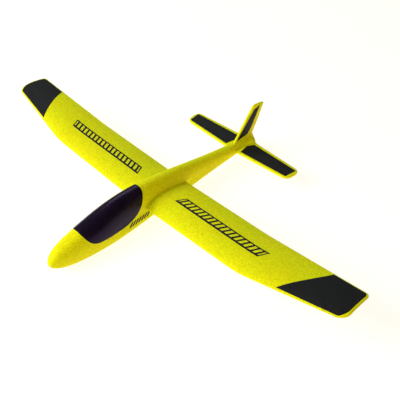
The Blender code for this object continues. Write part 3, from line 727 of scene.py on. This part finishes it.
def spar_slot(side):
    sections = []
    for x in (SPAR_REACH[0] - GAP, SPAR_REACH[1] + GAP):
        under = float(wing_points(x, SPAR_CHORD, -1)[2])
        floor = under - SPAR_SLOT_DEPTH
        roof = under + SPAR_DROP + SPAR_HEIGHT + GAP
        front = SPAR_Y - SPAR_WIDTH / 2 - GAP
        rear = SPAR_Y + SPAR_WIDTH / 2 + GAP
        corners = ((front, floor), (rear, floor), (rear, roof), (front, roof))
        sections.append(np.array([(side * x, y, z) for y, z in corners]))
    return loft("spar_slot", sections)


def wing_panel(word, side):
    """A cambered panel with a rounded tip, bored for its sleeve and pin and slotted for its spar."""
    name = f"wing_panel_{word}"
    panel = new_object(name, loft(name, [wing_section(x, side) for x in wing_stations()]))
    bores = (
        (JOINER_RISE, JOINER_Y, SLEEVE_END + GAP, SLEEVE_RADIUS + GAP),
        (PIN_RISE, PIN_Y, PIN_REACH[1] + GAP, PIN_RADIUS + GAP),
    )
    steps = [("DIFFERENCE", spar_slot(side))]
    for rise, y, reach, radius in bores:
        start = joiner_point(side * (ROOT_X - BORE_OVERRUN), rise, y)
        steps.append(("DIFFERENCE", rod("bore", start, joiner_point(side * reach, rise, y), radius)))
    return carve(panel, steps)


def softened(outline, radius, points=7):
    """A closed outline with every corner rounded."""
    corners = np.array(outline, float)
    made = []
    for before, corner, after in zip(np.roll(corners, 1, 0), corners, np.roll(corners, -1, 0)):
        pull = []
        for other in (before, after):
            length = np.linalg.norm(other - corner)
            pull.append(corner + (other - corner) * min(radius, 0.45 * length) / length)
        for t in np.linspace(0, 1, points):
            made.append((1 - t) ** 2 * pull[0] + 2 * t * (1 - t) * corner + t * t * pull[1])
    return np.array(made)


def plate(name, outline, thickness, edge, placed):
    """A plate with rounded edges. placed turns a flat point and a height into a point in space."""
    outline = np.asarray(outline, float)
    area = np.cross(outline, np.roll(outline, -1, 0)).sum()
    slope = np.roll(outline, -1, 0) - np.roll(outline, 1, 0)
    inwards = np.stack([-slope[:, 1], slope[:, 0]], 1) * math.copysign(1.0, area)
    inwards /= np.linalg.norm(inwards, axis=1)[:, None]
    turns = np.linspace(-math.pi / 2, 0, 6)
    profile = [(edge * (1 - math.cos(t)), -thickness / 2 + edge + edge * math.sin(t)) for t in turns]
    profile += [(inset, -height) for inset, height in reversed(profile)]
    rings = []
    for inset, height in profile:
        rings.append(np.array([placed(u, v, height) for u, v in outline + inwards * inset]))
    return loft(name, rings)


def mirrored(outline):
    """A closed outline from its half on the +X side, whose ends are on the middle line."""
    return [*outline, *[(-x, y) for x, y in reversed(outline[1:-1])]]


def tailplane():
    outline = softened(mirrored(TAILPLANE_OUTLINE), TAILPLANE_CORNER)
    mesh = plate(
        "tailplane_panel",
        outline,
        TAILPLANE_THICKNESS,
        TAILPLANE_EDGE,
        lambda u, v, height: (u, v, TAILPLANE_Z + height),
    )
    return new_object("tailplane_panel", mesh)


def fin():
    outline = softened(FIN_OUTLINE, FIN_CORNER)
    mesh = plate("fin_panel", outline, FIN_THICKNESS, FIN_EDGE, lambda u, v, height: (height, u, v))
    return new_object("fin_panel", mesh)


# ---------------------------------------------------------------- films


def breaks(marks, most):
    """The marks, with more between them wherever they are further apart than most."""
    marks = sorted(set(round(m, 6) for m in marks))
    made = []
    for low, high in zip(marks, marks[1:]):
        made += list(np.linspace(low, high, max(1, math.ceil((high - low) / most)) + 1)[:-1])
    return np.array([*made, marks[-1]])


def cell_film(name, us, vs, filled, surface):
    """A thin film over surface(u, v, lift), made only where filled(u, v) says so."""
    columns = len(vs)
    grid_u, grid_v = np.meshgrid(us, vs, indexing="ij")
    low = surface(grid_u, grid_v, FILM_LIFT).reshape(-1, 3)
    high = surface(grid_u, grid_v, FILM_LIFT + FILM).reshape(-1, 3)
    lid = len(low)
    rows, spaces = len(us) - 1, len(vs) - 1
    middle_u, middle_v = (us[:-1] + us[1:]) / 2, (vs[:-1] + vs[1:]) / 2
    made = [[filled(u, v) for v in middle_v] for u in middle_u]
    faces = []

    def there(i, j):
        return 0 <= i < rows and 0 <= j < spaces and made[i][j]

    for i in range(rows):
        for j in range(spaces):
            if not made[i][j]:
                continue
            a = i * columns + j
            b, c, d = a + columns, a + columns + 1, a + 1
            faces.append((a, b, c, d))
            faces.append((lid + a, lid + d, lid + c, lid + b))
            rims = ((i, j - 1, a, b), (i + 1, j, b, c), (i, j + 1, c, d), (i - 1, j, d, a))
            faces += [(p, q, lid + q, lid + p) for k, m, p, q in rims if not there(k, m)]
    mesh = mesh_of(name, np.concatenate([low, high]), faces)
    bm = bmesh.new()
    bm.from_mesh(mesh)
    loose = [v for v in bm.verts if not v.link_faces]
    bmesh.ops.delete(bm, geom=loose, context="VERTS")
    bm.to_mesh(mesh)
    bm.free()
    return new_object(name, mesh)


def tip_film(word, side):
    """From the slanted inner edge out to the tip, inside the rounded corners.

    The inner edge bows outwards a little, so that it looks straight where it crosses the camber.
    """
    chord = TRAILING_EDGE[-1][1] - LEADING_EDGE[-1][1]

    def surface(u, v, lift):
        c = TIP_PANEL_CHORD[0] + (TIP_PANEL_CHORD[1] - TIP_PANEL_CHORD[0]) * v
        inner = TIP_PANEL_FRONT_X + (TIP_PANEL_REAR_X - TIP_PANEL_FRONT_X) * v
        inner = inner + TIP_PANEL_BOW * 4 * v * (1 - v)
        cut = 0.0
        for radius, into in ((TIP_RADIUS_FRONT, c * chord), (TIP_RADIUS_REAR, (1 - c) * chord)):
            left = np.clip(radius - into, 0.0, radius)
            cut = cut + radius - np.sqrt(radius**2 - left**2)
        outer = TIP_X - TIP_PANEL_MARGIN - cut
        return wing_points(inner + (outer - inner) * u, c, 1, lift) * (side, 1, 1)

    us = np.linspace(0, 1, TIP_PANEL_GRID[0])
    vs = np.linspace(0, 1, TIP_PANEL_GRID[1]) ** TIP_PANEL_CROWDING
    return cell_film(f"tip_film_{word}", us, vs, lambda u, v: True, surface)


def stripe_edges(first, last, count, share):
    """Where count equal stripes start and end, centred in equal steps from first to last."""
    step = (last - first) / count
    starts = first + step * (np.arange(count) + (1 - share) / 2)
    return np.stack([starts, starts + share * step], 1)


def graphic_film(word, side):
    """A slanted band along the middle of the panel: plain even cross stripes inside a black border."""
    stripes = stripe_edges(GRAPHIC_ENDS, 1 - GRAPHIC_ENDS, GRAPHIC_STRIPES, GRAPHIC_STRIPE_SHARE)

    def filled(u, v):
        border = min(u, 1 - u) < GRAPHIC_ENDS or v < GRAPHIC_BORDER[0] or v > GRAPHIC_BORDER[1]
        return border or any(low < u < high for low, high in stripes)

    def surface(u, v, lift):
        c = GRAPHIC_CHORD[0] + (GRAPHIC_CHORD[1] - GRAPHIC_CHORD[0]) * v
        x = GRAPHIC_X[0] + (GRAPHIC_X[1] - GRAPHIC_X[0]) * u + GRAPHIC_SLANT * (v - 0.5)
        return wing_points(x, c, 1, lift) * (side, 1, 1)

    us = breaks([0.0, GRAPHIC_ENDS, *stripes.ravel(), 1 - GRAPHIC_ENDS, 1.0], GRAPHIC_CELL[0])
    vs = breaks([0.0, *GRAPHIC_BORDER, 1.0], GRAPHIC_CELL[1])
    return cell_film(f"graphic_film_{word}", us, vs, filled, surface)


def mark_film(word, side, skin):
    """A row of even slanted stripes low on the side of the fuselage, laid on its skin."""
    stripes = stripe_edges(0.0, 1.0, MARK_STRIPES, MARK_STRIPE_SHARE)

    def surface(u, v, lift):
        made = np.empty((*u.shape, 3))
        for at in np.ndindex(u.shape):
            y = MARK_Y[0] + (MARK_Y[1] - MARK_Y[0]) * u[at] + MARK_SLANT * (v[at] - 0.5)
            z = MARK_Z[0] + (MARK_Z[1] - MARK_Z[0]) * v[at] + MARK_TILT * u[at]
            place, normal, _, _ = skin.ray_cast(Vector((side * MARK_RAY_X, y, z)), Vector((-side, 0, 0)))
            made[at] = place + normal * lift
        return made

    us = breaks(stripes.ravel(), MARK_CELL[0])
    vs = breaks([0.0, 1.0], MARK_CELL[1])
    return cell_film(
        f"mark_film_{word}", us, vs, lambda u, v: any(low < u < high for low, high in stripes), surface
    )


def flat_film(name, outline, placed):
    return new_object(name, plate(name, softened(outline, FILM_CORNER, 4), FILM, FILM / 4, placed))


def tail_film(word, side):
    level = TAILPLANE_Z + TAILPLANE_THICKNESS / 2 + FILM_LIFT + FILM / 2
    return flat_film(f"tail_film_{word}", TAIL_PANEL, lambda u, v, height: (side * u, v, level + height))


def fin_film(word, side):
    away = FIN_THICKNESS / 2 + FILM_LIFT + FILM / 2
    return flat_film(f"fin_film_{word}", FIN_PANEL, lambda u, v, height: (side * (away + height), u, v))


# ---------------------------------------------------------------- materials


def new_material(name):
    made = bpy.data.materials.new(name)
    made.use_nodes = True
    tree = made.node_tree
    return made, tree, tree.nodes["Principled BSDF"]


def node(tree, kind, inputs, **settings):
    """A node with its settings and inputs; an input is a value or another node's output."""
    made = tree.nodes.new(kind)
    for name, value in settings.items():
        setattr(made, name, value)
    for name, value in inputs.items():
        if isinstance(value, bpy.types.NodeSocket):
            tree.links.new(value, made.inputs[name])
        else:
            made.inputs[name].default_value = value
    return made


def spread(tree, value, low, high, to_low, to_high):
    """value mapped from one range to another, without leaving it."""
    inputs = {"Value": value, "From Min": low, "From Max": high, "To Min": to_low, "To Max": to_high}
    return node(tree, "ShaderNodeMapRange", inputs).outputs["Result"]


def mixed(tree, share, first, second, blend="MIX"):
    """A colour between first and second, each a colour or another node's output."""
    made = tree.nodes.new("ShaderNodeMix")
    made.data_type = "RGBA"
    made.blend_type = blend
    for index, value in ((0, share), (6, first), (7, second)):
        if isinstance(value, bpy.types.NodeSocket):
            tree.links.new(value, made.inputs[index])
        else:
            made.inputs[index].default_value = value
    return made.outputs[2]


def arithmetic(tree, operation, first, second):
    made = tree.nodes.new("ShaderNodeMath")
    made.operation = operation
    for index, value in ((0, first), (1, second)):
        if isinstance(value, bpy.types.NodeSocket):
            tree.links.new(value, made.inputs[index])
        else:
            made.inputs[index].default_value = value
    return made.outputs[0]


def grey(value):
    return (value, value, value, 1.0)


def object_place(tree):
    return node(tree, "ShaderNodeTexCoord", {}).outputs["Object"]


def stretched(tree, place, scale):
    """The place scaled along each axis, for a texture drawn out along the one with the least scale."""
    return node(tree, "ShaderNodeMapping", {"Vector": place, "Scale": scale}).outputs["Vector"]


def noise(tree, place, scale, **inputs):
    return node(tree, "ShaderNodeTexNoise", {"Vector": place, "Scale": scale, **inputs}).outputs["Fac"]


def raise_bumps(tree, shader, height, strength, distance):
    """Lets height tilt the shading of the surface."""
    inputs = {"Height": height, "Strength": strength, "Distance": distance}
    tree.links.new(node(tree, "ShaderNodeBump", inputs).outputs["Normal"], shader.inputs["Normal"])


def foam_material():
    """Moulded bead foam: domed beads with fine grooves between them, a faint drift in hue and dents."""
    made, tree, shader = new_material("yellow_bead_foam")
    place = object_place(tree)
    beads = {"Vector": place, "Scale": 300.0, "Randomness": 0.9}
    bead = node(tree, "ShaderNodeTexVoronoi", beads, feature="F1")
    groove = node(tree, "ShaderNodeTexVoronoi", beads, feature="DISTANCE_TO_EDGE").outputs["Distance"]
    drift = noise(tree, place, 24.0, Detail=3.0)
    skin = noise(tree, place, 1700.0, Detail=3.0)
    dents = noise(tree, place, 75.0, Detail=2.0)
    apart = node(tree, "ShaderNodeSeparateColor", {"Color": bead.outputs["Color"]}).outputs["Red"]
    colour = mixed(tree, apart, (0.83, 0.78, 0.001, 1.0), (0.96, 0.915, 0.003, 1.0))
    blotch = noise(tree, place, 320.0, Detail=2.0)
    colour = mixed(tree, 1.0, colour, spread(tree, blotch, 0.3, 0.7, 0.94, 1.04), "MULTIPLY")
    hue = spread(tree, drift, 0.38, 0.62, 0.0, 1.0)
    colour = mixed(tree, 0.25, colour, mixed(tree, hue, (0.92, 0.76, 0.002, 1.0), (0.79, 0.86, 0.002, 1.0)))
    seam = spread(tree, groove, 0.0, 0.10, 0.76, 1.0)
    colour = mixed(tree, 1.0, colour, seam, "MULTIPLY")
    tree.links.new(colour, shader.inputs["Base Color"])
    tree.links.new(spread(tree, skin, 0.3, 0.7, 0.58, 0.80), shader.inputs["Roughness"])
    shader.inputs["Specular IOR Level"].default_value = 0.16
    shader.inputs["Specular Tint"].default_value = (1.0, 0.92, 0.25, 1.0)
    dome = spread(tree, groove, 0.0, 0.16, 0.0, 1.0)
    height = arithmetic(tree, "ADD", dome, arithmetic(tree, "MULTIPLY", skin, 0.35))
    height = arithmetic(tree, "ADD", height, arithmetic(tree, "MULTIPLY", dents, 2.2))
    raise_bumps(tree, shader, height, 0.55, 0.00022)
    return made


def film_material():
    """Black satin film: the beads underneath show through faintly, with fine scuffs."""
    made, tree, shader = new_material("black_satin_film")
    place = object_place(tree)
    groove = node(
        tree,
        "ShaderNodeTexVoronoi",
        {"Vector": place, "Scale": 300.0, "Randomness": 0.9},
        feature="DISTANCE_TO_EDGE",
    ).outputs["Distance"]
    scuff = noise(tree, place, 140.0, Detail=5.0, Distortion=0.6)
    grain = noise(tree, place, 2600.0, Detail=1.0)
    share = spread(tree, scuff, 0.40, 0.66, 0.0, 1.0)
    colour = mixed(tree, share, (0.0060, 0.0060, 0.0062, 1.0), (0.0095, 0.0094, 0.0096, 1.0))
    tree.links.new(colour, shader.inputs["Base Color"])
    tree.links.new(spread(tree, scuff, 0.35, 0.65, 0.50, 0.66), shader.inputs["Roughness"])
    shader.inputs["Specular IOR Level"].default_value = 0.17
    dome = spread(tree, groove, 0.0, 0.20, 0.0, 1.0)
    height = arithmetic(tree, "ADD", dome, arithmetic(tree, "MULTIPLY", grain, 0.25))
    raise_bumps(tree, shader, height, 0.35, 0.00012)
    return made


def canopy_material():
    """Deep violet-black moulded plastic, glossy, with faint flow marks and hairline scratches."""
    made, tree, shader = new_material("canopy_gloss_plastic")
    place = object_place(tree)
    flow = noise(tree, place, 38.0, Detail=3.0, Distortion=0.4)
    stretch = stretched(tree, place, (1500.0, 55.0, 900.0))
    hairs = noise(tree, stretch, 1.0, Detail=2.0)
    share = spread(tree, flow, 0.35, 0.65, 0.0, 1.0)
    colour = mixed(tree, share, (0.0050, 0.0022, 0.0078, 1.0), (0.0082, 0.0034, 0.0104, 1.0))
    tree.links.new(colour, shader.inputs["Base Color"])
    scratch = spread(tree, hairs, 0.55, 0.72, 0.0, 0.16)
    base = spread(tree, flow, 0.3, 0.7, 0.24, 0.31)
    tree.links.new(arithmetic(tree, "ADD", scratch, base), shader.inputs["Roughness"])
    shader.inputs["Specular IOR Level"].default_value = 0.22
    shader.inputs["Specular Tint"].default_value = (0.62, 0.42, 1.0, 1.0)
    raise_bumps(tree, shader, flow, 0.12, 0.0006)
    return made


def carbon_material():
    """Pultruded carbon: dark fibres lying along X under a thin resin skin."""
    made, tree, shader = new_material("pultruded_carbon")
    place = object_place(tree)
    stretch = stretched(tree, place, (60.0, 2600.0, 2600.0))
    fibre = noise(tree, stretch, 1.0, Detail=4.0)
    share = spread(tree, fibre, 0.35, 0.7, 0.0, 1.0)
    tree.links.new(mixed(tree, share, grey(0.010), grey(0.055)), shader.inputs["Base Color"])
    tree.links.new(spread(tree, fibre, 0.3, 0.7, 0.26, 0.46), shader.inputs["Roughness"])
    raise_bumps(tree, shader, fibre, 0.3, 0.00008)
    return made


def glass_fibre_material(name, stretch_scale):
    """Pultruded glass fibre: pale, slightly green, streaked along its length."""
    made, tree, shader = new_material(name)
    place = object_place(tree)
    stretch = stretched(tree, place, stretch_scale)
    fibre = noise(tree, stretch, 1.0, Detail=4.0)
    share = spread(tree, fibre, 0.35, 0.68, 0.0, 1.0)
    colour = mixed(tree, share, (0.50, 0.55, 0.42, 1.0), (0.78, 0.80, 0.70, 1.0))
    tree.links.new(colour, shader.inputs["Base Color"])
    tree.links.new(spread(tree, fibre, 0.3, 0.7, 0.30, 0.52), shader.inputs["Roughness"])
    raise_bumps(tree, shader, fibre, 0.25, 0.00006)
    return made


def sleeve_material():
    """Natural nylon tube with faint extrusion lines."""
    made, tree, shader = new_material("natural_nylon")
    place = object_place(tree)
    cloud = noise(tree, place, 160.0, Detail=3.0)
    stretch = stretched(tree, place, (40.0, 3000.0, 3000.0))
    lines = noise(tree, stretch, 1.0)
    share = spread(tree, cloud, 0.35, 0.65, 0.0, 1.0)
    colour = mixed(tree, share, (0.70, 0.68, 0.60, 1.0), (0.82, 0.81, 0.76, 1.0))
    tree.links.new(colour, shader.inputs["Base Color"])
    tree.links.new(spread(tree, lines, 0.3, 0.7, 0.34, 0.52), shader.inputs["Roughness"])
    shader.inputs["Subsurface Weight"].default_value = 0.1
    raise_bumps(tree, shader, lines, 0.2, 0.00005)
    return made


def steel_material():
    """Turned steel: fine rings round the bar, with a few darker specks."""
    made, tree, shader = new_material("turned_steel")
    place = object_place(tree)
    stretch = stretched(tree, place, (20.0, 4200.0, 20.0))
    rings = noise(tree, stretch, 1.0)
    specks = noise(tree, place, 420.0, Detail=4.0)
    share = spread(tree, specks, 0.45, 0.72, 0.0, 1.0)
    tree.links.new(mixed(tree, share, grey(0.52), (0.30, 0.29, 0.28, 1.0)), shader.inputs["Base Color"])
    tree.links.new(spread(tree, rings, 0.3, 0.7, 0.22, 0.42), shader.inputs["Roughness"])
    shader.inputs["Metallic"].default_value = 1.0
    raise_bumps(tree, shader, rings, 0.25, 0.00005)
    return made


def floor_material():
    made, tree, shader = new_material("pale_floor")
    place = object_place(tree)
    cloud = noise(tree, place, 3.0, Detail=2.0)
    share = spread(tree, cloud, 0.35, 0.65, 0.0, 1.0)
    tree.links.new(mixed(tree, share, grey(0.32), grey(0.34)), shader.inputs["Base Color"])
    shader.inputs["Roughness"].default_value = 0.9
    shader.inputs["Specular IOR Level"].default_value = 0.1
    shader.inputs["Emission Color"].default_value = (1.0, 0.93, 0.88, 1.0)
    shader.inputs["Emission Strength"].default_value = 0.90
    return made


# ---------------------------------------------------------------- stage


def area_light(name, direction, distance, size, energy, colour, seen_as):
    """A soft light aimed at the glider. seen_as limits it to the sheen or to the shading of surfaces."""
    data = bpy.data.lights.new(name, "AREA")
    data.shape = "RECTANGLE"
    data.size, data.size_y = size
    data.energy = energy
    data.color = colour
    made = bpy.data.objects.new(name, data)
    away = Vector(direction).normalized()
    made.visible_glossy = seen_as != "shading"
    made.visible_diffuse = seen_as != "sheen"
    made.location = Vector(CAMERA_AIM) + away * distance
    made.rotation_mode = "QUATERNION"
    made.rotation_quaternion = (-away).to_track_quat("-Z", "Y")
    bpy.context.scene.collection.objects.link(made)


def make_lights():
    for light in LIGHTS:
        area_light(*light)
    world = bpy.data.worlds.new("studio")
    bpy.context.scene.world = world
    world.use_nodes = True
    tree = world.node_tree
    background = tree.nodes["Background"]
    seen = node(tree, "ShaderNodeLightPath", {}).outputs["Is Camera Ray"]
    tree.links.new(spread(tree, seen, 0.0, 1.0, AMBIENT, 1.0), background.inputs["Strength"])
    tint = mixed(tree, seen, (0.84, 1.0, 0.90, 1.0), (1.0, 0.995, 0.99, 1.0))
    tree.links.new(tint, background.inputs["Color"])


def make_camera():
    data = bpy.data.cameras.new("camera")
    data.sensor_width = CAMERA_SENSOR
    data.lens = CAMERA_LENS
    data.clip_start, data.clip_end = CAMERA_CLIP
    camera = bpy.data.objects.new("camera", data)
    a, e = math.radians(CAMERA_AZIMUTH), math.radians(CAMERA_ELEVATION)
    back = Vector((math.sin(a) * math.cos(e), -math.cos(a) * math.cos(e), math.sin(e)))
    camera.location = Vector(CAMERA_AIM) + back * CAMERA_DISTANCE
    camera.rotation_mode = "QUATERNION"
    camera.rotation_quaternion = (-back).to_track_quat("-Z", "Y")
    bpy.context.scene.collection.objects.link(camera)
    bpy.context.scene.camera = camera


def make_floor():
    half = FLOOR_SIZE / 2
    corners = [(-half, -half), (half, -half), (half, half), (-half, half)]
    mesh = bpy.data.meshes.new("floor")
    mesh.from_pydata([(x, y, 0.0) for x, y in corners], [], [(0, 1, 2, 3)])
    floor = new_object("floor", mesh)
    floor.location.z = -FLOOR_DROP
    floor.data.materials.append(floor_material())


# ---------------------------------------------------------------- the glider


def add_piece(piece, body, node_name, finish):
    """Dresses a new piece, hangs it on its body and lets it stand for its CAD node."""
    piece.data.materials.clear()
    piece.data.materials.append(finish)
    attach(piece, body)
    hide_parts(node_name)


def dress(nodes, name, finish):
    """A better material for a CAD node that is shown as it is."""
    for slot in nodes[name].material_slots:
        slot.material = finish


def main():
    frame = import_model()
    nodes = frame["nodes"]
    foam, film = foam_material(), film_material()
    carbon = carbon_material()
    cross_glass = glass_fibre_material("glass_fibre_pin", (60.0, 2400.0, 2400.0))
    long_glass = glass_fibre_material("glass_fibre_boom", (2400.0, 60.0, 2400.0))
    nylon = sleeve_material()

    for word, half in fuselage_halves().items():
        side = SIDES[word]
        skin = tree_of(half.data)
        add_piece(half, "airframe", f"fuselage_{word}", foam)
        add_piece(mark_film(word, side, skin), "airframe", f"side_mark_{word}", film)
        add_piece(fin_film(word, side), "airframe", f"fin_panel_{word}", film)
        add_piece(tail_film(word, side), "tail", f"tail_panel_{word}", film)
        panel = f"{word}_panel"
        add_piece(wing_panel(word, side), panel, f"wing_{word}", foam)
        add_piece(tip_film(word, side), panel, f"tip_panel_{word}", film)
        add_piece(graphic_film(word, side), panel, f"wing_graphic_{word}", film)
        dress(nodes, f"wing_spar_{word}", carbon)
        dress(nodes, f"wing_pin_{word}", cross_glass)
        dress(nodes, f"wing_sleeve_{word}", nylon)
        dress(nodes, f"fuselage_sleeve_{word}", nylon)
    add_piece(canopy(), "cover", "canopy", canopy_material())
    add_piece(fin(), "airframe", "tail_fin", foam)
    add_piece(tailplane(), "tail", "tailplane", foam)
    dress(nodes, "wing_joiner", carbon)
    dress(nodes, "boom_rod", long_glass)
    dress(nodes, "nose_ballast", steel_material())

    make_floor()
    make_lights()
    make_camera()
    bpy.context.scene.view_settings.view_transform = "Standard"


main()
